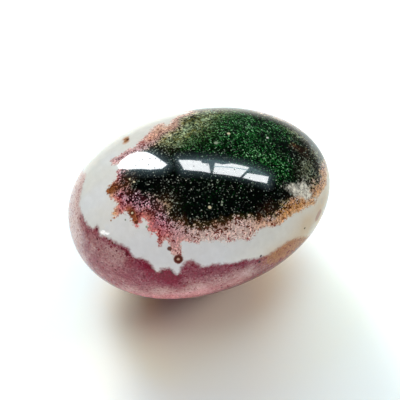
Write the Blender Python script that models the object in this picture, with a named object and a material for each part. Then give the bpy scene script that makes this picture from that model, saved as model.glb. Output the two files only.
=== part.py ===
"""A polished palm stone: one smooth, egg-shaped pebble that rests on a small flat spot.

Metres, +Z up. The long axis lies along X, with the blunter end at -X, and the thickness
is along Z. The origin is on the flat spot, below the middle of the stone.
"""

from math import pi, sin

import bmesh
import bpy
from mathutils import Vector

# Driving dimensions.
LENGTH = 0.066
WIDTH = 0.049
THICKNESS = 0.035
FLAT_SPOT_DEPTH = 0.0004  # how much of the underside is ground away
HAND_POLISH = 0.0001  # how far the hand-polished face wanders from the true form

# The form, as plain numbers.
FULLNESS = 2.08  # 2 is an ellipsoid, and more is squarer
BLUNT_END = 0.055  # how much wider the -X end is than the middle
BLUNT_END_THICKNESS = 0.015  # the same for the thickness
WANDER_TURNS = (0.52, 0.61, 0.47)  # waves of the hand-polished face from the middle to each end
WANDER_START = (0.15, 0.40, 0.05)  # where each wave starts, in turns

# The mesh.
SUBDIVISIONS = 5
SHORTEST_RIM_EDGE = 0.0003

# The finish.
STONE_COLOUR = (0.27, 0.22, 0.20, 1.0)
POLISH_ROUGHNESS = 0.08


def clear_scene():
    for old in list(bpy.data.objects):
        bpy.data.objects.remove(old, do_unlink=True)


def polish_wander(direction):
    """The gentle unevenness of the face in one direction, from -1 to 1."""
    waves = zip(direction, WANDER_TURNS, WANDER_START)
    return sum(sin(2 * pi * (turns * along + start)) for along, turns, start in waves) / 3


def face_point(direction):
    """The point of the stone's face in one direction from its middle, for a unit vector."""
    x, y, z = direction
    full = (abs(x) ** FULLNESS + abs(y) ** FULLNESS + abs(z) ** FULLNESS) ** (-1 / FULLNESS)
    x, y, z = x * full, y * full, z * full
    half_thickness = (THICKNESS + FLAT_SPOT_DEPTH) / 2
    point = Vector((
        LENGTH / 2 * x,
        WIDTH / 2 * y * (1 - BLUNT_END * x),
        half_thickness * z * (1 - BLUNT_END_THICKNESS * x),
    ))
    return point + HAND_POLISH * polish_wander(direction) * Vector(direction)


def grind_flat_spot(bm):
    """Cuts the lowest part of the stone off level and closes it with one face."""
    lowest = min(vert.co.z for vert in bm.verts)
    cut = bmesh.ops.bisect_plane(
        bm,
        geom=bm.verts[:] + bm.edges[:] + bm.faces[:],
        plane_co=(0, 0, lowest + FLAT_SPOT_DEPTH),
        plane_no=(0, 0, -1),
        clear_outer=True,
    )
    rim = [item for item in cut["geom_cut"] if isinstance(item, bmesh.types.BMVert)]
    bmesh.ops.remove_doubles(bm, verts=rim, dist=SHORTEST_RIM_EDGE)
    open_edges = [edge for edge in bm.edges if edge.is_boundary]
    bmesh.ops.contextual_create(bm, geom=open_edges)


def stand_on_origin(bm):
    """Puts the middle of the stone's plan over the origin and its flat spot on z = 0."""
    corners = [vert.co for vert in bm.verts]
    middle_x = (min(co.x for co in corners) + max(co.x for co in corners)) / 2
    middle_y = (min(co.y for co in corners) + max(co.y for co in corners)) / 2
    lowest = min(co.z for co in corners)
    bmesh.ops.translate(bm, verts=bm.verts[:], vec=(-middle_x, -middle_y, -lowest))


def stone_material():
    material = bpy.data.materials.new("polished_stone")
    material.use_nodes = True
    shader = material.node_tree.nodes["Principled BSDF"]
    shader.inputs["Base Color"].default_value = STONE_COLOUR
    shader.inputs["Roughness"].default_value = POLISH_ROUGHNESS
    shader.inputs["Metallic"].default_value = 0.0
    return material


def make_palm_stone():
    bm = bmesh.new()
    bmesh.ops.create_icosphere(bm, subdivisions=SUBDIVISIONS, radius=1.0)
    for vert in bm.verts:
        vert.co = face_point(vert.co.normalized())
    grind_flat_spot(bm)
    stand_on_origin(bm)
    bmesh.ops.recalc_face_normals(bm, faces=bm.faces[:])
    mesh = bpy.data.meshes.new("palm_stone")
    bm.to_mesh(mesh)
    bm.free()
    mesh.shade_smooth()
    mesh.materials.append(stone_material())
    stone = bpy.data.objects.new("palm_stone", mesh)
    bpy.context.scene.collection.objects.link(stone)
    return stone


clear_scene()
make_palm_stone()
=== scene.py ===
"""The looks of the palm stone, and a plain light studio round it.

The stone is one polished piece. Its moss, its white chalcedony and its mauve layer are colours in
one material. Outlines and soft patches, given as pixels of the photograph, place them on its face.
"""

from math import cos, pi, radians, sin

import bmesh
import bpy
import numpy as np
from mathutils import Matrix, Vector
from mathutils.bvhtree import BVHTree
from mathutils.geometry import convex_hull_2d
from mathutils.interpolate import poly_3d_calc
from mathutils.kdtree import KDTree


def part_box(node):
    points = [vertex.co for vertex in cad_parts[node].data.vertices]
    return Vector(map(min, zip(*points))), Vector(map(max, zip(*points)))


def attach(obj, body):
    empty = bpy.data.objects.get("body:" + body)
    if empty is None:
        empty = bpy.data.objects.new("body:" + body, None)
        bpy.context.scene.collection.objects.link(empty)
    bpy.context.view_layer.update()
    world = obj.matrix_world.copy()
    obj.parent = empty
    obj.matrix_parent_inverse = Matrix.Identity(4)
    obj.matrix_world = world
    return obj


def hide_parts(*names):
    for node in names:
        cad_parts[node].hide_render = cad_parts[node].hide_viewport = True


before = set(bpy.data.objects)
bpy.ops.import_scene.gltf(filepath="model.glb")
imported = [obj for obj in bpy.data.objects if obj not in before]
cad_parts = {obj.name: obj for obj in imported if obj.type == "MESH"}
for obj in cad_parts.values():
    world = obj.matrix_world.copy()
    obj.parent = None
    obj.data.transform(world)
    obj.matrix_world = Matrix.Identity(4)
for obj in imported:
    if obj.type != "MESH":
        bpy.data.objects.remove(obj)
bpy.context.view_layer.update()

LOW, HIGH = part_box("palm_stone")
MM = 0.001

# The stone's form, as in the solid that it stands for.
HAND_POLISH = 0.1 * MM
FULLNESS = 2.08
BLUNT_END = 0.055
BLUNT_END_THICKNESS = 0.015
WANDER_TURNS = (0.52, 0.61, 0.47)
WANDER_START = (0.15, 0.40, 0.05)
HALF_LENGTH = 33.0 * MM
HALF_WIDTH = 24.5 * MM
HALF_THICKNESS = 17.7 * MM
MIDDLE = Vector((0, 0, HIGH.z - HALF_THICKNESS))
FACE_CUTS = 118  # across each side of the cube that the face is drawn from

# The camera, in the frame of the 400 x 400 photograph.
PHOTO_SIDE = 400
FOCAL_PX = 1000
CAMERA_DISTANCE = 246 * MM
CAMERA_HEIGHT = radians(52)
CAMERA_TURN = radians(21.6)
STONE_MIDDLE_PX = (201.0, 198.9)
SENSOR_WIDTH_MM = 36
NEAREST_SEEN = 10 * MM

# How a place on the face is found: a pixel just outside the outline moves inwards in small steps.
RIM_STEPS = 60
RIM_STEP_PX = 0.25
RING_STEPS = 16  # between two points of a smooth outline
CHART_EYE = 1.0005  # just over 1, so that the point opposite a chart's pole stays on the chart

# Where the moss and its fringe end: pixels of the photograph, from the tip of the upper finger
# round to the top rim, then from the right rim along the lower edge and back to the finger.
MOSS_TOP_PX = (
    (110, 161), (117, 156.5), (127.5, 150), (134, 146.5), (139, 141.5), (144, 137.5), (149, 132),
    (154, 126), (163.5, 122.5), (167, 125.5), (173, 119), (179, 115.8), (190, 112.3),
)
MOSS_LOW_PX = (
    (327, 170), (327, 178.5), (325, 188), (321.5, 192), (317.5, 198), (315, 204), (306.5, 207),
    (301, 211), (292, 215), (286, 219), (282.5, 224), (273, 227), (266, 226), (258.5, 230),
    (254, 236), (247, 241), (240, 239.5), (230, 242), (218, 240.5), (211, 242), (204, 240),
    (198, 243), (190, 242.5), (182.5, 242), (180.5, 247), (181.5, 254), (178, 258), (174, 256),
    (171, 250), (169, 244.5), (166.5, 240), (163, 241), (161.5, 245.5), (158.5, 244), (156, 233.5),
    (153, 232.5), (150.5, 236), (149, 228), (147.5, 221), (143.5, 218.5), (140.5, 222.5),
    (137, 227.5), (132.5, 222.5), (129.5, 216.5), (126.5, 211.5), (122, 213), (114.5, 217.5),
    (112, 213), (116, 207), (116.5, 202), (110, 197.5), (106.5, 191), (109, 186), (115.5, 179.5),
    (117.5, 171), (122, 166), (129, 157.5), (120, 162.5), (112.5, 165),
)
# The same edge behind the stone: turns round the upright axis from +X, and heights, in degrees.
MOSS_BEHIND = (
    (86, 40), (80, 34), (70, 29), (57, 31), (43, 36), (30, 35), (16, 27), (4, 17), (-4, 12),
)
MOSS_MIDDLE = Vector((0.1, 0.1, 1)).normalized()

# Where the mauve layer begins, from the left rim to the right rim, then back behind the stone.
MAUVE_PX = (
    (85.5, 175), (82.5, 186), (80, 197), (79.5, 209), (84, 218.5), (87, 225), (91.5, 228.5),
    (97, 227), (99, 232), (100.5, 235.5), (108, 238), (115.5, 242.5), (123, 245.5), (128.5, 249),
    (131, 254.5), (137, 258), (143.5, 259), (149, 263), (153.5, 268.5), (157, 272), (162, 269.5),
    (168, 269), (173, 271), (176.5, 275), (179.5, 273), (181, 268.5), (183.5, 264), (189.5, 260.5),
    (195, 262), (200.5, 266.5), (207, 266.5), (213, 265), (222.5, 264), (234.5, 263), (245.5, 260),
    (256.5, 259), (262, 257), (268, 255), (277, 249.5), (287, 242.5), (294.5, 239.5), (303, 237),
    (309, 236),
)
MAUVE_BEHIND = (
    (-40, -11), (-22, -15), (-4, -11), (14, -13), (32, -7), (52, -10), (72, -4), (90, -6),
    (105, 1), (118, 8), (130, 12), (140, 20), (148, 26),
)
MAUVE_MIDDLE = Vector((0, 0, -1))

# The outlines of the lights' reflections in the polish, as pixels of the photograph.
LEFT_WINDOW_PX = (
    (117.4, 166), (122, 160), (128.5, 155), (137, 152), (146, 152), (152.5, 154.6), (160, 159.5),
    (167.3, 164.8), (161.8, 168.5), (150, 169.6), (140.5, 168.9), (128, 169.5), (119.2, 168.5),
)
NEAR_PANE_PX = (
    (178.4, 160.1), (190, 160), (201, 161), (202, 163), (208.5, 163.8), (210.4, 173),
    (202, 171.2), (190, 170.3), (184, 169.4),
)
MIDDLE_PANE_PX = (
    (215, 162.9), (222, 164.5), (231.6, 163.6), (249.2, 167.5), (240, 177.2), (227, 175),
    (213, 173.5),
)
FAR_PANE_PX = (
    (247.4, 173.1), (258.5, 174.9), (268.6, 176.8), (266.8, 183.3), (254.8, 181), (242.7, 177.7),
)
PANES_PX = (NEAR_PANE_PX, MIDDLE_PANE_PX, FAR_PANE_PX)
GLAZING_BAR_PX = ((214, 166.1), (248.4, 169.8), (248.1, 170.6), (213.9, 166.9))
LOW_GLINT_PX = (
    (99.5, 232.5), (103.5, 229.5), (106, 231.5), (110.5, 233.5), (108, 235), (101.5, 234.3),
)


def camera_axes():
    """The directions in which the camera looks, and its right and up."""
    away = Vector((
        sin(CAMERA_TURN) * cos(CAMERA_HEIGHT),
        cos(CAMERA_TURN) * cos(CAMERA_HEIGHT),
        -sin(CAMERA_HEIGHT),
    ))
    right = Vector((cos(CAMERA_TURN), -sin(CAMERA_TURN), 0))
    return away, right, right.cross(away)


def camera_place():
    away, right, up = camera_axes()
    px_size = CAMERA_DISTANCE / FOCAL_PX
    off_right = (STONE_MIDDLE_PX[0] - PHOTO_SIDE / 2) * px_size
    off_up = (PHOTO_SIDE / 2 - STONE_MIDDLE_PX[1]) * px_size
    return MIDDLE - off_right * right - off_up * up - CAMERA_DISTANCE * away


def make_camera():
    away, _, _ = camera_axes()
    data = bpy.data.cameras.new("camera")
    data.sensor_width = SENSOR_WIDTH_MM
    data.lens = SENSOR_WIDTH_MM * FOCAL_PX / PHOTO_SIDE
    data.clip_start = NEAREST_SEEN
    camera = bpy.data.objects.new("camera", data)
    camera.location = camera_place()
    camera.rotation_euler = away.to_track_quat("-Z", "Y").to_euler()
    bpy.context.scene.collection.objects.link(camera)
    bpy.context.scene.camera = camera


def polish_wander(direction):
    """The gentle unevenness of the face in one direction, from -1 to 1."""
    waves = zip(direction, WANDER_TURNS, WANDER_START)
    return sum(sin(2 * pi * (turns * along + start)) for along, turns, start in waves) / 3


def face_point(direction):
    """The point of the stone's face in one direction from its middle."""
    x, y, z = direction
    full = (abs(x) ** FULLNESS + abs(y) ** FULLNESS + abs(z) ** FULLNESS) ** (-1 / FULLNESS)
    x, y, z = x * full, y * full, z * full
    point = MIDDLE + Vector((
        HALF_LENGTH * x,
        HALF_WIDTH * y * (1 - BLUNT_END * x),
        HALF_THICKNESS * z * (1 - BLUNT_END_THICKNESS * x),
    ))
    return point + HAND_POLISH * polish_wander(direction) * Vector(direction)


def stone_mesh():
    """A cube cut into a fine grid, drawn out to the stone's face and pressed flat at the foot."""
    bm = bmesh.new()
    bmesh.ops.create_cube(bm, size=2)
    bmesh.ops.subdivide_edges(bm, edges=bm.edges[:], cuts=FACE_CUTS, use_grid_fill=True)
    for vert in bm.verts:
        even = Vector(np.tan(np.array(vert.co) * pi / 4))
        vert.co = face_point(even.normalized())
    for vert in bm.verts:
        vert.co.z = max(vert.co.z, LOW.z)
    bmesh.ops.recalc_face_normals(bm, faces=bm.faces[:])
    mesh = bpy.data.meshes.new("polished_stone")
    bm.to_mesh(mesh)
    bm.free()
    mesh.shade_smooth()
    return mesh


class Face:
    """The stone's face, to find places on it by a pixel or by an angle."""

    def __init__(self, mesh):
        self.corners = [vert.co.copy() for vert in mesh.vertices]
        self.normals = [vert.normal.copy() for vert in mesh.vertices]
        self.polygons = [face.vertices[:] for face in mesh.polygons]
        self.points = np.array(self.corners)
        self.tree = BVHTree.FromPolygons(self.corners, self.polygons)

    def cast(self, px):
        """The ray through a pixel, or through the nearest one inside the outline, and what it meets."""
        away, right, up = camera_axes()
        middle = Vector(STONE_MIDDLE_PX)
        spot = Vector(px)
        for _ in range(RIM_STEPS):
            offset = (spot - Vector((PHOTO_SIDE / 2, PHOTO_SIDE / 2))) / FOCAL_PX
            ray = (away + offset.x * right - offset.y * up).normalized()
            point, _, polygon, _ = self.tree.ray_cast(camera_place(), ray)
            if point is not None:
                return ray, point, polygon
            spot += (middle - spot).normalized() * RIM_STEP_PX
        raise ValueError(f"no face at {px}")

    def at_px(self, px):
        return self.cast(px)[1]

    def mirrored(self, px):
        """The point of the face at a pixel, and the direction that it mirrors the camera's view to."""
        ray, point, polygon = self.cast(px)
        corners = self.polygons[polygon]
        shares = poly_3d_calc([self.corners[index] for index in corners], point)
        normal = sum((share * self.normals[index] for share, index in zip(shares, corners)), Vector())
        normal.normalize()
        return point, ray - 2 * ray.dot(normal) * normal

    def towards(self, turn, height):
        turn, height = radians(turn), radians(height)
        return face_point(Vector((cos(turn) * cos(height), sin(turn) * cos(height), sin(height))))

    def distance_to(self, curve):
        """How far each vertex is from the nearest point of a closely spaced curve."""
        tree = KDTree(len(curve))
        for index, point in enumerate(curve):
            tree.insert(point, index)
        tree.balance()
        return np.array([tree.find(point)[2] for point in self.corners])

    def inside(self, curve, pole):
        """Which vertices lie on the pole's side of a closed curve, on a flat chart round the pole."""
        turn = pole.rotation_difference(Vector((0, 0, 1))).to_matrix()
        half = np.array((HALF_LENGTH, HALF_WIDTH, HALF_THICKNESS))

        def chart(points):
            ball = (np.array(points) - np.array(MIDDLE)) / half
            ball = ball / np.linalg.norm(ball, axis=1, keepdims=True) @ np.array(turn).T
            return ball[:, :2] / (CHART_EYE + ball[:, 2:])

        spots, corners = chart(self.points), chart(curve)
        nexts = np.roll(corners, -1, axis=0)
        odd = np.zeros(len(spots), bool)
        for (ax, ay), (bx, by) in zip(corners, nexts):
            if ay == by:
                continue
            spans = (ay > spots[:, 1]) != (by > spots[:, 1])
            odd ^= spans & (spots[:, 0] < (bx - ax) * (spots[:, 1] - ay) / (by - ay) + ax)
        return odd

    def depth_inside(self, curve, pole):
        """Each vertex's distance from a closed curve in millimetres, above 0 on the pole's side."""
        return np.where(self.inside(curve, pole), 1, -1) * self.distance_to(curve) / MM

    def patches(self, spots):
        """Soft round patches, added up to 1 at most."""
        total = np.zeros(len(self.points))
        for x, y, radius, strength in spots:
            away = np.linalg.norm(self.points - np.array(self.at_px((x, y))), axis=1) / (radius * MM)
            total += strength * np.exp(-away ** 2)
        return np.clip(total, 0, 1)


def smooth_ring(points):
    """A closed curve that runs smoothly through the points."""
    ring = []
    count = len(points)
    for index in range(count):
        before, start, end, after = (points[(index + k) % count] for k in (-1, 0, 1, 2))
        for step in range(RING_STEPS):
            t = step / RING_STEPS
            ring.append(
                0.5 * ((2 * start) + (end - before) * t
                       + (2 * before - 5 * start + 4 * end - after) * t ** 2
                       + (3 * start - before - 3 * end + after) * t ** 3)
            )
    return ring


def add_attribute(mesh, name, values):
    attribute = mesh.attributes.new(name, "FLOAT", "POINT")
    attribute.data.foreach_set("value", np.asarray(values, np.float32))


# Soft round patches on the stone: pixel x, pixel y, radius in millimetres, strength.
PATCHES = {
    # Where the moss is leafy green, and where pale olive.
    "green": (
        (250, 128, 6, 0.65), (225, 120, 6, 0.9), (200, 124, 6, 0.8), (275, 142, 5, 0.5),
        (258, 160, 5, 0.6), (238, 146, 6, 0.4), (180, 138, 4, 0.7), (300, 146, 3, 0.3),
        (278, 172, 4, 0.55), (215, 145, 4, 0.3), (195, 148, 4, 0.4), (222, 186, 5, 0.3),
        (288, 168, 3.5, 0.45), (272, 122, 4, 0.7), (288, 132, 3, 0.6), (240, 112, 4, 0.6),
    ),
    "sage": (
        (178, 132, 4, 1.0), (168, 141, 3, 0.9), (190, 122, 4.5, 1.0), (205, 113, 4, 0.8),
        (320, 156, 2.5, 0.5), (297, 135, 1.8, 1.0), (222, 111, 4, 0.6), (309, 167, 2.6, 0.7),
        (314, 155, 2.0, 0.6), (305, 178, 2.5, 0.5), (287, 128, 2, 0.4), (276, 118, 1.5, 0.4),
        (255, 112, 1.5, 0.2), (200, 127, 4, 0.4), (164, 201, 2.5, 0.35), (172, 207, 2, 0.3),
        (305, 138, 1.8, 0.3), (313, 147, 1.8, 0.3),
    ),
    # Where its fringe is rust and rose, and where umber shows through.
    "rust": (
        (302, 210, 4, 1.0), (284, 220, 4, 0.6), (312, 203, 3.5, 1.0), (325, 178, 3.2, 1.0),
        (327, 165, 2.8, 0.9), (262, 226, 3, 0.4), (108, 191, 2.0, 1.0), (112, 215, 1.6, 1.0),
        (113, 205, 1.2, 0.6), (320, 192, 2.5, 0.8), (284, 206, 3, 0.5), (160, 130, 2.5, 0.5),
        (150, 138, 1.5, 0.4), (320, 157, 2, 0.6),
    ),
    "rose": (
        (122, 203, 4, 1.0), (132, 213, 4.5, 1.0), (146, 222, 4, 0.9), (156, 236, 3, 0.6),
        (172, 249, 3, 0.4), (119, 176, 2.2, 0.7), (137, 203, 4.5, 0.9), (152, 211, 4.5, 0.7),
        (184, 238, 2.5, 0.4), (172, 228, 2.5, 0.3), (142, 144, 4, 0.4), (120, 158, 4, 0.5),
        (152, 134, 2.5, 0.4),
    ),
    "umber": (
        (296, 147, 1.8, 0.4), (303, 153, 1.5, 0.25), (292, 145, 1.2, 0.3), (306, 149, 1.2, 0.4),
        (308, 157, 1.0, 0.3), (272, 207, 2.0, 0.4), (262, 212, 2.0, 0.3), (132, 176, 2.5, 0.45),
        (129, 192, 1.6, 0.5), (165, 203, 3.0, 0.45), (290, 203, 2.5, 0.4), (109, 190, 1.7, 1.0),
        (115, 187, 1.2, 0.6), (127, 206, 1.2, 0.4), (131, 213, 1.4, 1.0), (135, 220, 1.2, 0.8),
        (152, 239, 0.8, 0.5), (222, 228, 1.5, 0.4), (260, 221, 1.4, 0.6), (149, 216, 1.8, 0.5),
        (143, 209, 1.2, 0.4), (160, 138, 1.0, 0.3), (170, 128, 0.8, 0.6), (123, 187, 1.5, 0.4),
        (214, 224, 1.2, 0.5), (228, 221, 1.2, 0.4), (199, 222, 1.5, 0.4), (182, 222, 2.0, 0.55),
    ),
    # Where the fringe is wide.
    "wide": (
        (138, 204, 5, 0.9), (156, 218, 4, 0.7), (172, 232, 4, 0.8), (195, 234, 4, 0.3),
        (130, 210, 3, 0.5), (121, 190, 3, 0.4), (218, 234, 5, 0.7), (240, 230, 4, 1.0),
        (176, 250, 3, 1.0), (160, 240, 3, 0.6), (148, 230, 3, 0.6), (286, 212, 4, 0.5),
        (305, 204, 4, 0.6), (324, 172, 3, 0.6), (315, 190, 4, 0.5), (155, 140, 4, 0.5),
        (178, 125, 4, 0.3), (140, 147, 4, 0.5),
    ),
    # The pale quartz near the slim end.
    "pale": (
        (292, 188, 1.3, 1.0), (299, 191, 2.0, 0.9), (308, 195, 2.0, 0.9), (316, 200, 1.4, 0.7),
        (305, 183, 2.0, 0.5), (284, 186, 1.2, 0.3),
    ),
    # Where the mauve layer is plum; where it is pale, which along the bottom rim is painted light
    # bounced from the floor; and where that painted floor light glows pink on the bottom rim.
    "plum": (
        (141, 263, 1.8, 0.5), (150, 268, 1.8, 0.55), (165, 274, 2.6, 1.0), (195, 267, 2.2, 0.35),
        (208, 271, 2.4, 0.35), (228, 266, 2.0, 0.65), (243, 262, 1.5, 0.9), (129, 253, 0.9, 0.9),
        (174, 279, 2.4, 0.9), (185, 270, 1.8, 0.35), (98, 229, 0.7, 0.6), (255, 261, 1.2, 0.6),
        (200, 276, 2.0, 0.2), (150, 276, 2.5, 0.35), (105, 239, 0.8, 0.5), (114, 244, 0.9, 0.6),
        (122, 248, 0.9, 0.6), (85, 181, 0.8, 0.4), (82, 196, 0.6, 0.3), (83, 215, 0.7, 0.3),
        (213, 266, 1.0, 0.5), (126, 271, 3.0, 0.15), (141, 281, 3.0, 0.25),
    ),
    # Pale mauve patches; those along the bottom rim are painted light bounced from the floor.
    "pale_mauve_and_painted_glow": (
        (130, 290, 3.5, 0.5), (150, 297, 3, 0.5), (180, 294, 4, 0.5), (205, 288, 4, 0.6),
        (235, 279, 4, 0.5), (250, 272, 3, 0.5), (275, 259, 2.5, 0.4), (72, 215, 4, 1.0),
        (74, 235, 3.5, 0.7), (83, 257, 3, 0.45), (99, 279, 3, 0.4), (73, 195, 4, 1.0),
        (82, 177, 4, 1.0), (160, 292, 2.5, 0.4), (76, 205, 3, 0.3), (84, 241, 3, 0.4),
        (102, 244, 2.5, 0.3), (120, 256, 2.5, 0.4), (86, 170, 3, 0.6), (189, 263, 1.6, 0.5),
        (155, 285, 2, 0.2), (111, 259, 2.5, 0.3),
    ),
    # The bottom rim's pink glow: painted light that stands in for light bounced from the floor.
    "painted_pink_bounce": (
        (130, 293, 3, 0.4), (150, 298, 3, 1.0), (170, 298, 3, 0.6), (188, 296, 3, 0.4),
        (205, 292, 3, 0.4), (221, 288, 2.5, 0.15), (238, 281, 2.5, 0.2),
    ),
    # Where the white and the mauve turn to tan, and where the white is bluish.
    "tan": (
        (272, 257, 3, 0.7), (284, 251, 3, 1.0), (294, 246, 3, 1.0), (303, 241, 3, 1.0),
        (307, 224, 3, 1.0), (320, 208, 3.5, 0.95), (327, 195, 3, 0.7), (295, 228, 3, 0.3),
        (327, 172, 3, 0.8), (318, 222, 2, 0.8),
    ),
    "cool": (
        (145, 248, 6, 0.9), (175, 258, 5, 0.9), (205, 252, 6, 0.9), (235, 250, 5, 0.6),
        (120, 230, 5, 0.5), (98, 200, 6, 0.7), (108, 160, 4, 0.5),
    ),
    # Where the fringe is thinly strewn.
    "sparse": (
        (167, 228, 2.5, 0.5), (160, 131, 3.0, 1.0), (150, 138, 2.5, 0.8), (142, 145, 2, 0.5),
        (168, 124, 2, 0.7), (162, 201, 3, 0.25), (120, 160, 2.5, 0.5), (324, 175, 2, 0.5),
        (242, 222, 2, 0.6),
    ),
}

# Colours, as the shader takes them.
CHALCEDONY = (0.66, 0.68, 0.65)
CHALCEDONY_BLUE = (0.66, 0.70, 0.73)
CHALCEDONY_TAN = (0.60, 0.45, 0.28)
MAUVE = (0.222, 0.053, 0.076)
MAUVE_GREY = (0.285, 0.114, 0.129)
# Pale mauve; along the bottom rim it is the colour of painted floor light.
MAUVE_PALE = (0.60, 0.46, 0.44)
# The pink of painted floor light on the bottom rim.
PAINTED_BOUNCE_PINK = (0.95, 0.37, 0.43)
MAUVE_TAN = (0.41, 0.195, 0.090)
PLUM_DEEP = (0.185, 0.009, 0.030)
PLUM_GREY = (0.22, 0.052, 0.088)
MOSS_LEAF = (0.035, 0.19, 0.04)
LEAF_LIGHT = (0.15, 0.39, 0.19)
OLIVE = (0.20, 0.17, 0.04)
QUARTZ = (0.20, 0.24, 0.20)
FROST = (0.58, 0.50, 0.54)
SPECK_DIM = (0.22, 0.32, 0.27)
SPECK_PALE = (0.50, 0.54, 0.46)
UMBER_GRAIN = (0.24, 0.070, 0.018)
UMBER_DARK = (0.05, 0.012, 0.004)
PALE_QUARTZ = (0.74, 0.74, 0.66)
RED_BROWN = (0.10, 0.025, 0.012)
MAROON = (0.09, 0.012, 0.02)
CRIMSON_BROWN = (0.22, 0.018, 0.036)
DUSTY_RED = (0.44, 0.27, 0.21)
PALE_BROWN = (0.55, 0.49, 0.40)
PEACH = (0.58, 0.43, 0.33)
ORANGE_BROWN = (0.30, 0.13, 0.045)
CREAM = (0.62, 0.58, 0.40)
PALE_GREEN = (0.60, 0.65, 0.58)
GREY_GREEN = (0.24, 0.30, 0.22)
BROWN_GREY = (0.10, 0.08, 0.05)
OLIVE_BLACK = (0.05, 0.05, 0.035)
PLUM_BLACK = (0.04, 0.02, 0.03)

# Single spots: pixel x, pixel y, radius in millimetres, colour. The white one at 157.4, 270.8 is a
# painted glint.
SPOTS = (
    (125.5, 138.2, 1.1, PEACH), (126, 141.8, 1.1, PEACH), (126.2, 138.9, 0.8, ORANGE_BROWN),
    (126.2, 141, 0.75, ORANGE_BROWN), (127.5, 139.6, 0.5, RED_BROWN), (169.6, 248.6, 0.6, RED_BROWN),
    (132, 213, 0.80, RED_BROWN), (132, 213, 0.28, CREAM), (136.5, 222, 0.5, RED_BROWN),
    (125.4, 219.8, 0.25, GREY_GREEN), (146.5, 226.8, 0.32, GREY_GREEN),
    (111, 220.5, 0.25, ORANGE_BROWN), (106.5, 238.3, 0.2, RED_BROWN),
    (109.5, 240.6, 0.22, RED_BROWN), (112.4, 243, 0.25, RED_BROWN), (97, 228.8, 0.32, MAROON),
    (127, 254, 0.5, MAROON), (121.6, 248.4, 0.3, MAROON), (116.5, 251, 0.25, MAROON),
    (97.5, 261.5, 0.3, MAROON), (99.7, 256, 0.22, MAROON), (179.7, 296.1, 0.3, MAROON),
    # On the next line, the chalcedony-white spot at 157.4, 270.8 is a painted glint, a tiny highlight.
    (248, 281, 0.3, MAROON), (157.4, 270.8, 0.22, CHALCEDONY), (112.8, 266, 0.25, MAROON),
    (115.5, 270, 0.3, MAROON), (124, 268.5, 0.22, MAROON), (80.5, 219, 0.25, MAROON),
    (97.3, 239, 0.25, MAROON), (113, 256, 0.22, MAROON), (259.5, 261.6, 0.42, PLUM_BLACK),
    (260.8, 256, 0.36, PLUM_BLACK), (221.8, 287.2, 0.28, MAROON), (304.7, 228.2, 0.3, BROWN_GREY),
    (317, 218, 1.0, DUSTY_RED), (318.5, 215, 1.1, DUSTY_RED), (320, 212, 0.9, DUSTY_RED),
    (322, 201, 0.9, PALE_BROWN), (228.6, 133.5, 0.42, CREAM), (267.5, 137.7, 0.34, PALE_GREEN),
    (209.5, 207.2, 0.42, CREAM), (221.7, 204.6, 0.3, GREY_GREEN), (222, 201.8, 0.26, GREY_GREEN),
    (216, 143, 0.5, GREY_GREEN), (134, 181.9, 0.32, CREAM), (129.7, 179, 0.26, CREAM),
)
SPOT_WANDER_MM = 0.18
SPOT_SIZE_MM = 0.6
# Where a spot's colour begins and where it is full, as shares of its radius.
SPOT_OUTSIDE = 1.15
SPOT_INSIDE = 0.6

# The ringed orb, and its colours from the middle (0) to the outside (1).
ORB_PX = (178.4, 259.2)
ORB_RADIUS = 1.3
ORB_INSIDE = 0.72
ORB_RINGS = (
    (0.0, (0.60, 0.45, 0.38)), (0.16, (0.45, 0.25, 0.18)), (0.34, (0.07, 0.015, 0.01)),
    (0.66, (0.10, 0.025, 0.02)), (1.0, (0.35, 0.18, 0.15)),
)

# Fine specks of several sizes: the spacing in millimetres, the least random number of a speck that
# shows, the radius as a share of the spacing, and the strength.
MAUVE_SPECKS = ((0.8, 0.50, 0.45, 0.6), (2.0, 0.35, 0.28, 0.85), (1.3, 0.45, 0.30, 0.9))
MOSS_SPECKS = ((0.50, 0.45, 0.42, 0.36), (0.75, 0.55, 0.27, 0.95), (1.4, 0.75, 0.15, 1.0))

# Along each stretch of the moss's edge, from the outside (0) to the core (1): the light ground, the
# dark grains on it, and how much of it they cover.
BLOSSOM = {
    "ground": (
        (0.0, (0.64, 0.54, 0.51)), (0.2, (0.63, 0.47, 0.43)), (0.45, (0.54, 0.43, 0.35)),
        (0.7, (0.36, 0.29, 0.16)), (1.0, (0.17, 0.15, 0.08)),
    ),
    "dark": ((0.0, (0.38, 0.10, 0.11)), (0.2, (0.15, 0.045, 0.035)), (0.5, (0.026, 0.018, 0.004))),
    "crowd": (
        (0.0, 0.05), (0.12, 0.12), (0.30, 0.30), (0.45, 0.62), (0.6, 0.84), (0.8, 0.94), (1.0, 1.02),
    ),
}
ROSE = {
    "ground": (
        (0.0, (0.62, 0.31, 0.29)), (0.06, (0.52, 0.16, 0.16)), (0.18, (0.46, 0.18, 0.23)),
        (0.38, (0.44, 0.25, 0.33)), (0.7, (0.27, 0.20, 0.18)), (1.0, (0.13, 0.14, 0.11)),
    ),
    "dark": (
        (0.0, (0.30, 0.04, 0.03)), (0.12, (0.14, 0.012, 0.022)), (0.26, (0.03, 0.005, 0.007)),
        (0.6, (0.009, 0.004, 0.004)),
    ),
    "crowd": (
        (0.0, 0.10), (0.12, 0.34), (0.26, 0.57), (0.42, 0.73), (0.6, 0.82), (0.8, 0.94), (1.0, 1.06),
    ),
}
RUST = {
    "ground": (
        (0.0, (0.64, 0.47, 0.32)), (0.12, (0.62, 0.33, 0.135)), (0.33, (0.46, 0.22, 0.055)),
        (0.55, (0.26, 0.20, 0.05)), (1.0, (0.13, 0.14, 0.05)),
    ),
    "dark": ((0.0, (0.34, 0.11, 0.035)), (0.3, (0.07, 0.022, 0.005)), (0.6, (0.014, 0.010, 0.003))),
    "crowd": (
        (0.0, 0.10), (0.13, 0.26), (0.31, 0.44), (0.47, 0.60), (0.7, 0.78), (0.9, 0.95), (1.0, 1.03),
    ),
}
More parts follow.
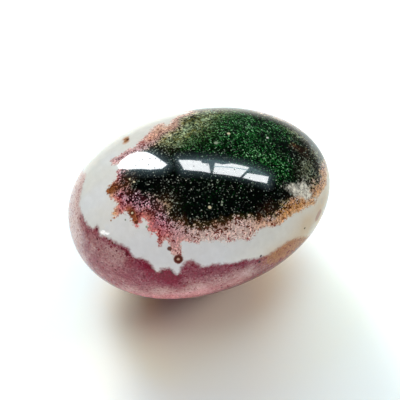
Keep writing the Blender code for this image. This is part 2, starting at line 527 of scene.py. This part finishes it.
SAGE = {
    "ground": (
        (0.0, (0.72, 0.57, 0.48)), (0.12, (0.58, 0.37, 0.28)), (0.28, (0.42, 0.27, 0.21)),
        (0.42, (0.40, 0.36, 0.25)), (0.7, (0.62, 0.66, 0.44)), (1.0, (0.50, 0.62, 0.38)),
    ),
    "dark": (
        (0.0, (0.38, 0.20, 0.15)), (0.25, (0.12, 0.06, 0.06)), (0.5, (0.04, 0.03, 0.02)),
        (0.8, (0.012, 0.020, 0.006)),
    ),
    "crowd": ((0.0, 0.08), (0.12, 0.22), (0.3, 0.44), (0.6, 0.36), (1.0, 0.42)),
}
# The grains of the closed core, from black (0) to the lightest green (1).
CORE_GREENS = (
    (0.0, (0.0006, 0.0008, 0.0008)), (0.27, (0.0006, 0.0030, 0.0012)), (0.52, (0.0010, 0.018, 0.003)),
    (0.70, (0.002, 0.064, 0.009)), (0.86, (0.026, 0.20, 0.045)), (1.0, (0.30, 0.60, 0.32)),
)
# How far the edge reaches in from the moss's outline: everywhere, and more where it is wide or sparse.
EDGE_MM = 3.2
WIDE_EDGE_MM = 6.5
SPARSE_EDGE_MM = 9.0

# The polish, with its tiny pits.
POLISH_ROUGHNESS = 0.04
JASPER_IOR = 1.54
PIT_DEPTH_MM = 0.07


def mark_zones(mesh, face):
    """Stores where each vertex lies in the moss, in the mauve layer and in the patches."""
    moss = [face.at_px(px) for px in MOSS_TOP_PX]
    moss += [face.towards(*angles) for angles in MOSS_BEHIND]
    moss += [face.at_px(px) for px in MOSS_LOW_PX]
    mauve = [face.at_px(px) for px in MAUVE_PX]
    mauve += [face.towards(*angles) for angles in MAUVE_BEHIND]
    add_attribute(mesh, "moss", face.depth_inside(smooth_ring(moss), MOSS_MIDDLE))
    add_attribute(mesh, "mauve", face.depth_inside(smooth_ring(mauve), MAUVE_MIDDLE))
    for name, spots in PATCHES.items():
        add_attribute(mesh, name, face.patches(spots))


class Nodes:
    """Short calls for the nodes of one material."""

    def __init__(self, name):
        self.material = bpy.data.materials.new(name)
        self.material.use_nodes = True
        self.tree = self.material.node_tree
        self.shader = self.tree.nodes["Principled BSDF"]
        self.place = self.tree.nodes.new("ShaderNodeTexCoord").outputs["Object"]

    def put(self, socket, value):
        if isinstance(value, bpy.types.NodeSocket):
            self.tree.links.new(value, socket)
        elif isinstance(value, tuple) and len(value) == 3 and socket.type == "RGBA":
            socket.default_value = (*value, 1)
        else:
            socket.default_value = value

    def worked(self, kind, operation, *values):
        """A Math or Vector Math node with its operation and its first inputs."""
        node = self.tree.nodes.new(kind)
        node.operation = operation
        for socket, value in zip(node.inputs, values):
            self.put(socket, value)
        return node

    def math(self, operation, *values):
        return self.worked("ShaderNodeMath", operation, *values).outputs[0]

    def add(self, *values):
        total = values[0]
        for value in values[1:]:
            total = self.math("ADD", total, value)
        return total

    def times(self, *values):
        total = values[0]
        for value in values[1:]:
            total = self.math("MULTIPLY", total, value)
        return total

    def less(self, a, b):
        return self.math("SUBTRACT", a, b)

    def centred(self, value):
        """A value from 0 to 1, moved to lie round 0."""
        return self.less(value, 0.5)

    def varied(self, value, *others):
        """A value with others added to it, each times its weight."""
        for other, weight in others:
            value = self.add(value, self.times(other, weight))
        return value

    def ease(self, value, start, end, low=0.0, high=1.0):
        """Goes smoothly from low to high as the value goes from start to end."""
        node = self.tree.nodes.new("ShaderNodeMapRange")
        node.interpolation_type = "SMOOTHSTEP"
        for socket, item in zip(node.inputs, (value, start, end, low, high)):
            self.put(socket, item)
        return node.outputs[0]

    def dot(self, away, radius):
        """1 near the middle of a grain, falling to 0 from half the radius to the radius."""
        return self.ease(away, radius, radius * 0.5)

    def attribute(self, name):
        node = self.tree.nodes.new("ShaderNodeAttribute")
        node.attribute_name = name
        return node.outputs["Fac"]

    def noise(self, size_mm, detail, shift):
        node = self.tree.nodes.new("ShaderNodeTexNoise")
        node.noise_dimensions = "4D"
        self.put(node.inputs["Vector"], self.place)
        node.inputs["W"].default_value = shift
        node.inputs["Scale"].default_value = 1 / (size_mm * MM)
        node.inputs["Detail"].default_value = detail
        return node

    def wave(self, size_mm, detail, shift):
        """Soft noise round 0, from about -0.5 to 0.5, with features of about a size."""
        return self.centred(self.noise(size_mm, detail, shift).outputs["Fac"])

    def shifted(self, amount_mm, size_mm, shift):
        """The place, wandering by an amount over a size."""
        noise = self.noise(size_mm, 1.0, shift).outputs["Color"]
        reach = (2 * amount_mm * MM,) * 3
        return self.worked("ShaderNodeVectorMath", "MULTIPLY_ADD", noise, reach, self.place).outputs[0]

    def cells(self, size_mm, place, feature):
        node = self.tree.nodes.new("ShaderNodeTexVoronoi")
        node.feature = feature
        self.put(node.inputs["Vector"], place)
        node.inputs["Scale"].default_value = 1 / (size_mm * MM)
        return node

    def grains(self, size_mm, place):
        """Grains of about a size: three random numbers for each, and the distance from its middle."""
        node = self.cells(size_mm, place, "F1")
        split = self.tree.nodes.new("ShaderNodeSeparateColor")
        self.put(split.inputs[0], node.outputs["Color"])
        return split.outputs[0], split.outputs[1], split.outputs[2], node.outputs["Distance"]

    def cracks(self, size_mm, place):
        """The distance from the nearest of the lines between grains of about a size."""
        return self.cells(size_mm, place, "DISTANCE_TO_EDGE").outputs["Distance"]

    def bump(self, height, rise_mm):
        node = self.tree.nodes.new("ShaderNodeBump")
        node.inputs["Strength"].default_value = 1.0
        node.inputs["Distance"].default_value = rise_mm * MM
        self.put(node.inputs["Height"], height)
        return node.outputs["Normal"]

    def mix(self, share, a, b):
        """Goes from one colour to another as the share goes from 0 to 1."""
        node = self.tree.nodes.new("ShaderNodeMix")
        node.data_type = "RGBA"
        node.clamp_factor = True
        self.put(node.inputs["Factor"], share)
        self.put(node.inputs[6], a)
        self.put(node.inputs[7], b)
        return node.outputs[2]

    def brighter(self, colour, factor):
        """A colour times a number."""
        node = self.worked("ShaderNodeVectorMath", "SCALE", colour)
        self.put(node.inputs["Scale"], factor)
        return node.outputs[0]

    def ramp(self, value, stops):
        """Goes through the stops, each a position and a colour or a number."""
        node = self.tree.nodes.new("ShaderNodeValToRGB")
        elements = node.color_ramp.elements
        elements.remove(elements[-1])
        for position, item in stops:
            colour = item if isinstance(item, tuple) else (item,) * 3
            element = elements[0] if position == stops[0][0] else elements.new(position)
            element.position = position
            element.color = (*colour, 1)
        self.put(node.inputs[0], value)
        return node.outputs[0]

    def distance(self, point, place):
        return self.worked("ShaderNodeVectorMath", "DISTANCE", place, point).outputs["Value"]


def chalcedony(n):
    """White with faint bluish clouds and a soft mottle, honey-coloured at the slim end."""
    cool = n.varied(n.attribute("cool"), (n.wave(6.0, 3.0, shift=5.0), 1.5))
    white = n.mix(n.ease(cool, 0.0, 1.0), CHALCEDONY, CHALCEDONY_BLUE)
    white = n.brighter(white, n.varied(1.0, (n.wave(1.6, 4.0, shift=24.0), 0.22)))
    return n.mix(n.times(n.attribute("tan"), 0.75), white, CHALCEDONY_TAN)


def pale_streaks(n, blotch):
    """Thin pale layers that follow the mauve layer's edge, seen here and there well below it."""
    depth = n.attribute("mauve")
    layers = n.math("SINE", n.varied(n.times(depth, 4.4), (n.wave(5.0, 2.0, shift=21.0), 14.0)))
    return n.times(n.ease(layers, 0.55, 0.98), n.ease(depth, 2.4, 3.4), n.ease(blotch, -0.15, 0.2))


def mauve_specks(n, plum, shown, colour):
    """Crimson brown specks, maroon in the plum edge and fainter where the layer is pale, and along
    the bottom rim, where light from the floor is painted.
    """
    speck = n.mix(n.ease(plum, 0.1, 0.7), CRIMSON_BROWN, MAROON)
    for size, least, radius, strength in MAUVE_SPECKS:
        chosen, _, _, away = n.grains(size, n.shifted(0.3, 0.6, shift=9.0 + size))
        chosen = n.varied(chosen, (n.attribute("plum"), 0.25))
        dot = n.times(n.dot(away, radius), n.ease(chosen, least, least + 0.25))
        colour = n.mix(n.times(dot, shown, strength), colour, speck)
    return colour


def mauve_layer(n):
    """The dusty mauve layer: blotches and grain, pale patches, a bottom rim made paler and pink by
    painted light bounced from the floor, pale streaks, a plum edge, specks.
    """
    blotch = n.wave(3.0, 3.0, shift=6.0)
    fine = n.wave(0.45, 2.0, shift=8.0)
    pick, tint, _, _ = n.grains(0.32, n.shifted(0.1, 0.4, shift=8.5))
    pick, tint = n.centred(pick), n.centred(tint)
    tone = n.varied(n.times(blotch, 2.8), (fine, 1.4), (tint, 0.45))
    colour = n.mix(n.ease(tone, -0.45, 0.45), MAUVE, MAUVE_GREY)
    # Pale mauve patches, and on the bottom rim a pale painted glow of light from the floor.
    pale_mauve_and_painted_glow = n.varied(n.attribute("pale_mauve_and_painted_glow"), (blotch, 0.9), (fine, 0.5), (pick, 0.15))
    colour = n.mix(n.ease(pale_mauve_and_painted_glow, 0.0, 0.95, 0.0, 0.95), colour, MAUVE_PALE)
    # Painted light: the bottom rim turns pink as if lit by light bounced from the floor.
    colour = n.mix(n.times(n.attribute("painted_pink_bounce"), 0.9), colour, PAINTED_BOUNCE_PINK)
    colour = n.mix(n.times(pale_streaks(n, blotch), 0.35), colour, MAUVE_PALE)
    tan = n.varied(n.attribute("tan"), (pick, 0.7))
    colour = n.mix(n.ease(tan, 0.1, 0.8), colour, MAUVE_TAN)
    plum = n.varied(n.attribute("plum"), (fine, 1.2), (blotch, 0.7), (pick, 0.7))
    colour = n.mix(n.ease(plum, 0.0, 0.6, 0.0, 0.8), colour, PLUM_GREY)
    colour = n.mix(n.ease(plum, 0.35, 0.95, 0.0, 0.95), colour, PLUM_DEEP)
    # Grain tint and specks fade where the mauve is pale and on the bottom rim's painted floor light.
    shown = n.less(1.0, n.times(n.ease(n.attribute("pale_mauve_and_painted_glow"), 0.1, 0.8), 0.65))
    colour = n.brighter(colour, n.add(1.0, n.times(tint, shown, 0.48)))
    return mauve_specks(n, plum, shown, colour)


def along_edge(n, share, item):
    """A value of the moss's edge that goes from stretch to stretch."""
    value = n.ramp(share, BLOSSOM[item])
    for name, stretch in (("rose", ROSE), ("rust", RUST), ("sage", SAGE)):
        value = n.mix(n.attribute(name), value, n.ramp(share, stretch[item]))
    return value


def core_colour(n, green, hue):
    """The closed core: black, with dark and light green grains in clouds where it is green."""
    clouds = n.varied(n.times(n.wave(2.4, 3.0, shift=14.0), 0.7), (n.wave(0.8, 2.0, shift=17.0), 0.6))
    _, fine, _, _ = n.grains(0.25, n.shifted(0.1, 0.3, shift=22.0))
    grain = n.varied(n.times(n.centred(hue), 0.65), (n.centred(fine), 0.65))
    return n.ramp(n.add(-0.12, n.times(green, 0.55), clouds, grain), CORE_GREENS)


def moss_colour(n, share):
    """Moss as grains: sparse dark ones at the edge that close up to a black or green core."""
    pick, tint, hue, _ = n.grains(0.29, n.shifted(0.12, 0.4, shift=11.0))
    clump = n.varied(n.times(n.wave(1.1, 2.0, shift=12.0), 1.6), (n.wave(3.0, 2.0, shift=13.0), 1.5))
    inner = n.ease(share, 0.5, 0.9)
    green = n.times(n.attribute("green"), n.ease(share, 0.3, 1.0))
    sage = n.attribute("sage")
    umber = n.ease(n.varied(n.attribute("umber"), (clump, 0.3)), 0.1, 0.9)
    thinner = n.varied(n.times(umber, 0.4), (green, 0.07))
    crowd = n.less(along_edge(n, share, "crowd"), n.times(inner, thinner))
    crowd = n.add(crowd, n.times(clump, n.less(1.15, crowd), 1.3))

    frosted = n.times(n.ease(hue, 0.4, 1.0), n.ease(share, 0.08, 0.35), n.less(0.6, n.times(sage, 0.55)))
    ground = n.mix(frosted, along_edge(n, share, "ground"), FROST)
    olive = n.times(sage, n.ease(share, 0.35, 0.6), n.ease(n.wave(1.3, 3.0, shift=19.0), -0.1, 0.12))
    ground = n.mix(olive, ground, OLIVE)
    leaf = n.times(inner, n.less(1.0, n.times(sage, 0.8)))
    ground = n.mix(leaf, ground, n.mix(green, QUARTZ, MOSS_LEAF))
    ground = n.mix(n.times(umber, 0.9), ground, UMBER_GRAIN)
    ground = n.brighter(ground, n.add(n.less(0.7, n.times(inner, 0.4)), n.times(tint, tint, 0.9)))

    dark = n.mix(leaf, along_edge(n, share, "dark"), core_colour(n, green, hue))
    dark = n.mix(n.times(umber, 0.7), dark, UMBER_DARK)
    return n.mix(n.ease(n.less(pick, crowd), 0.06, -0.06), ground, dark)


def moss_specks(n, share, colour):
    """Small pale specks of quartz in the moss, most of them faint."""
    green = n.attribute("green")
    often = n.varied(0.7, (green, 0.4))
    for size, least, radius, strength in MOSS_SPECKS:
        chosen, tint, _, away = n.grains(size, n.shifted(0.1, 0.5, shift=size))
        dot = n.times(n.dot(away, radius), n.ease(chosen, least, 1.0), often)
        pale = n.mix(n.times(green, 0.6), n.mix(tint, SPECK_DIM, SPECK_PALE), LEAF_LIGHT)
        colour = n.mix(n.times(dot, n.ease(share, 0.7, 1.0), strength), colour, pale)
    return colour


def pale_lace(n, small, jitter, colour):
    """The pale quartz near the slim end, with feathered edges and dark lines between its grains."""
    feather = n.varied(n.times(n.wave(1.3, 4.0, shift=23.0), 1.6), (n.centred(jitter), 0.35))
    pale = n.attribute("pale")
    pale = n.add(pale, n.times(feather, n.ease(pale, 0.0, 0.25)))
    lines = n.ease(n.cracks(1.8, n.shifted(0.6, 1.6, shift=15.0)), 0.06, 0.02, 0.0, 0.6)
    quartz = n.brighter(PALE_QUARTZ, n.varied(0.72, (jitter, 0.4), (small, 1.2)))
    return n.mix(n.ease(pale, 0.25, 1.15, 0.0, 0.95), colour, n.mix(lines, quartz, OLIVE_BLACK))


def single_spots(n, face, colour):
    """The separate spots, one a painted glint, and the ringed orb, each with a slightly uneven outline."""
    uneven = n.shifted(SPOT_WANDER_MM, SPOT_SIZE_MM, shift=20.0)
    offset = Vector((SPOT_WANDER_MM * MM,) * 3)
    for x, y, radius, tint in SPOTS:
        away = n.distance(face.at_px((x, y)) + offset, uneven)
        spot = n.ease(away, radius * SPOT_OUTSIDE * MM, radius * SPOT_INSIDE * MM, 0.0, 0.95)
        colour = n.mix(spot, colour, tint)
    away = n.distance(face.at_px(ORB_PX) + offset, uneven)
    rings = n.ramp(n.math("DIVIDE", away, ORB_RADIUS * MM), ORB_RINGS)
    return n.mix(n.ease(away, ORB_RADIUS * MM, ORB_INSIDE * ORB_RADIUS * MM), colour, rings)


def pitted_polish(n):
    """The direction of the polished face, with tiny pits in it."""
    chosen, _, _, away = n.grains(0.85, n.shifted(0.1, 0.5, shift=16.0))
    pits = n.times(n.ease(away, 0.18, 0.06), n.ease(chosen, 0.35, 0.6))
    return n.bump(pits, -PIT_DEPTH_MM)


def jasper_material(face):
    n = Nodes("polished_jasper")
    small = n.wave(0.7, 2.0, shift=2.0)
    jitter, _, _, _ = n.grains(0.40, n.shifted(0.1, 0.4, shift=4.0))
    uneven = n.centred(jitter)

    below = n.varied(n.attribute("mauve"), (n.wave(1.4, 3.0, shift=7.0), 1.1), (small, 0.7), (uneven, 0.3))
    colour = n.mix(n.ease(below, -0.7, 0.5), chalcedony(n), mauve_layer(n))

    depth = n.varied(n.attribute("moss"), (n.wave(2.0, 2.0, shift=1.0), 1.0), (small, 1.2), (uneven, 0.7))
    edge = n.varied(EDGE_MM, (n.attribute("wide"), WIDE_EDGE_MM), (n.attribute("sparse"), SPARSE_EDGE_MM))
    share = n.math("DIVIDE", depth, edge)
    share = n.add(share, n.times(n.wave(1.8, 3.0, shift=18.0), n.ease(share, 0.15, 0.5), 1.2))
    moss = moss_specks(n, share, moss_colour(n, share))
    colour = n.mix(n.ease(depth, -0.3, 0.25), colour, moss)

    colour = pale_lace(n, small, jitter, colour)
    n.put(n.shader.inputs["Base Color"], single_spots(n, face, colour))
    n.put(n.shader.inputs["Normal"], pitted_polish(n))
    n.shader.inputs["Roughness"].default_value = POLISH_ROUGHNESS
    n.shader.inputs["IOR"].default_value = JASPER_IOR
    return n.material


def make_stone(mesh, face):
    stone = bpy.data.objects.new("polished_stone", mesh)
    bpy.context.scene.collection.objects.link(stone)
    mesh.materials.append(jasper_material(face))
    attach(stone, "root")
    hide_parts("palm_stone")
    return stone


# The floor, and the sheet of it near the stone that only the polish mirrors. The sheet is greyer
# in front of the stone and on its right: painted shade that dims the floor seen in the polish.
FLOOR_HALF_SIDE = 2.0
FLOOR_WHITE = 0.93
NEAR_HALF_SIDE = 170 * MM
NEAR_MIDDLE = (-20 * MM, -100 * MM)
NEAR_HEIGHT = 0.02 * MM
NEAR_FRONT_SHADED_WHITE = 0.45
NEAR_BACK_WHITE = 0.88
NEAR_RIGHT_SHADED_SHARE = 0.75
FRONT_TO_BACK = (-35 * MM, 5 * MM)
LEFT_TO_RIGHT = (25 * MM, 45 * MM)


def make_sheet(name, half_side, middle, height, material):
    bm = bmesh.new()
    bmesh.ops.create_grid(bm, x_segments=1, y_segments=1, size=half_side)
    bmesh.ops.translate(bm, verts=bm.verts[:], vec=(middle[0], middle[1], height))
    mesh = bpy.data.meshes.new(name)
    bm.to_mesh(mesh)
    bm.free()
    sheet = bpy.data.objects.new(name, mesh)
    mesh.materials.append(material)
    bpy.context.scene.collection.objects.link(sheet)
    return sheet


def matt_paper(name, front_white, back_white, right_share):
    """Matt paper, of one white before the stone and another behind it, and dimmer on its right."""
    n = Nodes(name)
    along = n.tree.nodes.new("ShaderNodeSeparateXYZ")
    n.put(along.inputs[0], n.place)
    white = n.ramp(n.ease(along.outputs["Y"], *FRONT_TO_BACK), ((0.0, front_white), (1.0, back_white)))
    white = n.brighter(white, n.ease(along.outputs["X"], *LEFT_TO_RIGHT, 1.0, right_share))
    n.put(n.shader.inputs["Base Color"], white)
    n.shader.inputs["Roughness"].default_value = 1.0
    n.shader.inputs["Specular IOR Level"].default_value = 0.0
    return n.material


def make_floor():
    """The floor, and a sheet of it near the stone, seen in reflections only and dimmed by painted shade.
    """
    floor_paper = matt_paper("floor_paper", FLOOR_WHITE, FLOOR_WHITE, 1.0)
    floor = make_sheet("floor", FLOOR_HALF_SIDE, (0, 0), 0.0, floor_paper)
    floor.visible_glossy = False
    # The near sheet's greyer front and right are painted shade for the floor that the polish mirrors.
    near_paper = matt_paper("floor_near_paper", NEAR_FRONT_SHADED_WHITE, NEAR_BACK_WHITE, NEAR_RIGHT_SHADED_SHARE)
    mirror = make_sheet("floor_near", NEAR_HALF_SIDE, NEAR_MIDDLE, NEAR_HEIGHT, near_paper)
    mirror.visible_camera = False
    mirror.visible_diffuse = False
    mirror.visible_shadow = False
    mirror.visible_transmission = False
    return floor, mirror


# The windows' reflections: their colours, their glow and how far away their cards hang, in metres.
PLAIN_WHITE = (1, 1, 1)
REFLECTED_SKY = (0.94, 0.98, 1.0)
HAZE_BLUE = (0.58, 0.88, 1.0)
LEFT_WINDOW_GLOW = 22
RIGHT_WINDOW_GLOW = 19
GLAZING_BAR_GLOW = 9
LOW_GLINT_GLOW = 7
PANE_DISTANCE = 1.0
BAR_DISTANCE = 0.98
HAZE_DISTANCE = 1.02
HAZE_GAP = 0.02
# How far the haze round a window's reflection reaches in pixels, and how bright it is there.
HAZE_STEPS = ((0.8, 2.6), (1.8, 1.5), (3.2, 1.0), (4.8, 0.7), (6.4, 0.42), (8.5, 0.2))
HAZE_ROUNDING = 16


def glow_material(name, colour, strength):
    material = bpy.data.materials.new(name)
    material.use_nodes = True
    tree = material.node_tree
    tree.nodes.remove(tree.nodes["Principled BSDF"])
    glow = tree.nodes.new("ShaderNodeEmission")
    glow.inputs["Color"].default_value = (*colour, 1)
    glow.inputs["Strength"].default_value = strength
    tree.links.new(glow.outputs[0], tree.nodes["Material Output"].inputs["Surface"])
    material.cycles.emission_sampling = "NONE"
    return material


def make_card(name, face, outline_px, glow, colour, distance):
    """A glowing card, seen only in reflections, hung so that the stone mirrors it with an outline."""
    views = [face.mirrored(px) for px in outline_px]
    way = sum((direction for _, direction in views), Vector()).normalized()
    bm = bmesh.new()
    corners = []
    for point, direction in views:
        reach = (distance - (point - MIDDLE).dot(way)) / direction.dot(way)
        corners.append(bm.verts.new(point + reach * direction))
    bm.faces.new(corners)
    bmesh.ops.triangulate(bm, faces=bm.faces[:])
    mesh = bpy.data.meshes.new(name)
    bm.to_mesh(mesh)
    bm.free()
    card = bpy.data.objects.new(name, mesh)
    mesh.materials.append(glow_material(name, colour, glow))
    bpy.context.scene.collection.objects.link(card)
    card.visible_camera = False
    card.visible_shadow = False
    card.visible_diffuse = False


def grown(outline, by):
    """The rounded outline that runs outside another one, by a number of pixels."""
    turns = [2 * pi * step / HAZE_ROUNDING for step in range(HAZE_ROUNDING)]
    spots = [Vector(px) + by * Vector((cos(turn), sin(turn))) for px in outline for turn in turns]
    return [spots[index] for index in convex_hull_2d(spots)]


def make_window(name, face, panes, glow):
    """The reflection of a window's panes, with a bluish haze that fades out round them."""
    for pane_px in panes:
        make_card(name, face, pane_px, glow, REFLECTED_SKY, PANE_DISTANCE)
    whole = [px for pane_px in panes for px in pane_px]
    for step, (by, haze) in enumerate(HAZE_STEPS):
        distance = HAZE_DISTANCE + HAZE_GAP * step
        make_card(name + "_haze", face, grown(whole, by), haze, HAZE_BLUE, distance)


# The soft lights of the floor and of the stone: the turn from straight behind and the height, in
# degrees, and the distance; the width and height of the panel; and its light.
FLOOR_PANELS = (
    ("left_on_floor", (-21, 18, 1.0), (0.32, 0.32), (4.1, 3.7, 2.9)),
    ("high_left_on_floor", (-31, 38, 1.0), (0.28, 0.45), (0.3, 0.5, 1.0)),
    ("low_on_floor", (-5, 7, 1.2), (1.2, 0.08), (11.0, 6.8, 1.0)),
    ("back_on_floor", (-5, 13, 1.2), (1.2, 0.12), (0.1, 5.5, 8.6)),
    ("right_on_floor", (74, 20, 1.0), (0.4, 0.3), (2.3, 2.0, 1.55)),
    ("high_right_on_floor", (32, 45, 1.0), (0.5, 0.3), (0.2, 0.3, 0.6)),
    ("top_on_floor", (0, 75, 1.0), (0.6, 0.6), (0.5, 0.6, 0.5)),
)
STONE_PANELS = (
    ("left_on_stone", (-31, 38, 1.0), (0.28, 0.45), (1.30, 1.28, 1.25)),
    ("right_on_stone", (36, 54, 1.0), (0.55, 0.20), (1.55, 1.5, 1.46)),
    ("back_on_stone", (-20, 12, 1.0), (0.9, 0.25), (0.36, 0.36, 0.36)),
    ("front_on_stone", (-163, 14, 1.2), (2.0, 0.7), (4.25, 3.80, 3.60)),
)


def panel_way(turn, height):
    """The direction from the stone to a panel."""
    away, right, _ = camera_axes()
    behind = Vector((away.x, away.y, 0)).normalized()
    turn, height = radians(turn), radians(height)
    return (behind * cos(turn) + right * sin(turn)) * cos(height) + Vector((0, 0, sin(height)))


def make_panel(name, place, size, light, falls_on):
    """A soft light for some pieces alone, which shows in no reflection."""
    turn, height, distance = place
    data = bpy.data.lights.new(name, "AREA")
    data.shape = "RECTANGLE"
    data.size, data.size_y = size
    data.energy = pi * max(light)
    data.color = [part / max(light) for part in light]
    panel = bpy.data.objects.new(name, data)
    way = panel_way(turn, height)
    panel.location = MIDDLE + way * distance
    panel.rotation_euler = (-way).to_track_quat("-Z", "Y").to_euler()
    panel.visible_glossy = False
    bpy.context.scene.collection.objects.link(panel)
    lit = bpy.data.collections.new(name + "_falls_on")
    for piece in falls_on:
        lit.objects.link(piece)
    panel.light_linking.receiver_collection = lit


def make_lights(face, stone, floor):
    make_window("left_window", face, [LEFT_WINDOW_PX], LEFT_WINDOW_GLOW)
    make_window("right_window", face, PANES_PX, RIGHT_WINDOW_GLOW)
    make_card("glazing_bar", face, GLAZING_BAR_PX, GLAZING_BAR_GLOW, HAZE_BLUE, BAR_DISTANCE)
    make_card("low_glint", face, LOW_GLINT_PX, LOW_GLINT_GLOW, PLAIN_WHITE, PANE_DISTANCE)
    for panels, falls_on in ((FLOOR_PANELS, floor), (STONE_PANELS, [stone])):
        for name, place, size, light in panels:
            make_panel(name, place, size, light, falls_on)


# The room: its light on matt faces, what the polish mirrors of it, and what the camera sees.
FRONT_AIR = (0.04, 0.04, 0.04)
BACK_AIR = (0.42, 0.42, 0.40)
FRONT_TO_BACK_AIR = (-0.3, 0.3)
LOW_MIRRORED = (1.35, 1.35, 1.25)
HIGH_MIRRORED = (0.04, 0.045, 0.05)
TOP_MIRRORED = (0.008, 0.009, 0.010)
LOW_TO_HIGH = (-0.4, 0.05)
HIGH_TO_TOP = (0.2, 0.7)
UPWARDS = Vector((0, 0, 1))
BACKDROP = (0.95, 0.95, 0.95)


def make_world():
    """Room light: dim from the front and brighter from behind on matt faces, dim above in reflections."""
    world = bpy.data.worlds.new("studio")
    world.use_nodes = True
    tree = world.node_tree
    way = tree.nodes.new("ShaderNodeTexCoord").outputs["Generated"]
    path = tree.nodes.new("ShaderNodeLightPath")

    def blend(share, a, b):
        node = tree.nodes.new("ShaderNodeMix")
        node.data_type = "RGBA"
        tree.links.new(share, node.inputs["Factor"])
        for socket, value in ((node.inputs[6], a), (node.inputs[7], b)):
            if isinstance(value, tuple):
                socket.default_value = (*value, 1)
            else:
                tree.links.new(value, socket)
        return node.outputs[2]

    def along(direction, start, end):
        """How far the view's direction points along another one, eased from start to end."""
        dot = tree.nodes.new("ShaderNodeVectorMath")
        dot.operation = "DOT_PRODUCT"
        tree.links.new(way, dot.inputs[0])
        dot.inputs[1].default_value = direction
        ease = tree.nodes.new("ShaderNodeMapRange")
        ease.interpolation_type = "SMOOTHSTEP"
        tree.links.new(dot.outputs["Value"], ease.inputs[0])
        ease.inputs[1].default_value, ease.inputs[2].default_value = start, end
        return ease.outputs[0]

    air = blend(along(panel_way(0, 0), *FRONT_TO_BACK_AIR), FRONT_AIR, BACK_AIR)
    mirrored = blend(along(UPWARDS, *LOW_TO_HIGH), LOW_MIRRORED, HIGH_MIRRORED)
    mirrored = blend(along(UPWARDS, *HIGH_TO_TOP), mirrored, TOP_MIRRORED)
    colour = blend(path.outputs["Is Glossy Ray"], air, mirrored)
    colour = blend(path.outputs["Is Camera Ray"], colour, BACKDROP)
    tree.links.new(colour, tree.nodes["Background"].inputs["Color"])
    bpy.context.scene.world = world
    bpy.context.scene.view_settings.view_transform = "Standard"


make_camera()
make_world()
FLOOR = make_floor()
STONE_MESH = stone_mesh()
STONE_FACE = Face(STONE_MESH)
mark_zones(STONE_MESH, STONE_FACE)
STONE = make_stone(STONE_MESH, STONE_FACE)
make_lights(STONE_FACE, STONE, FLOOR)
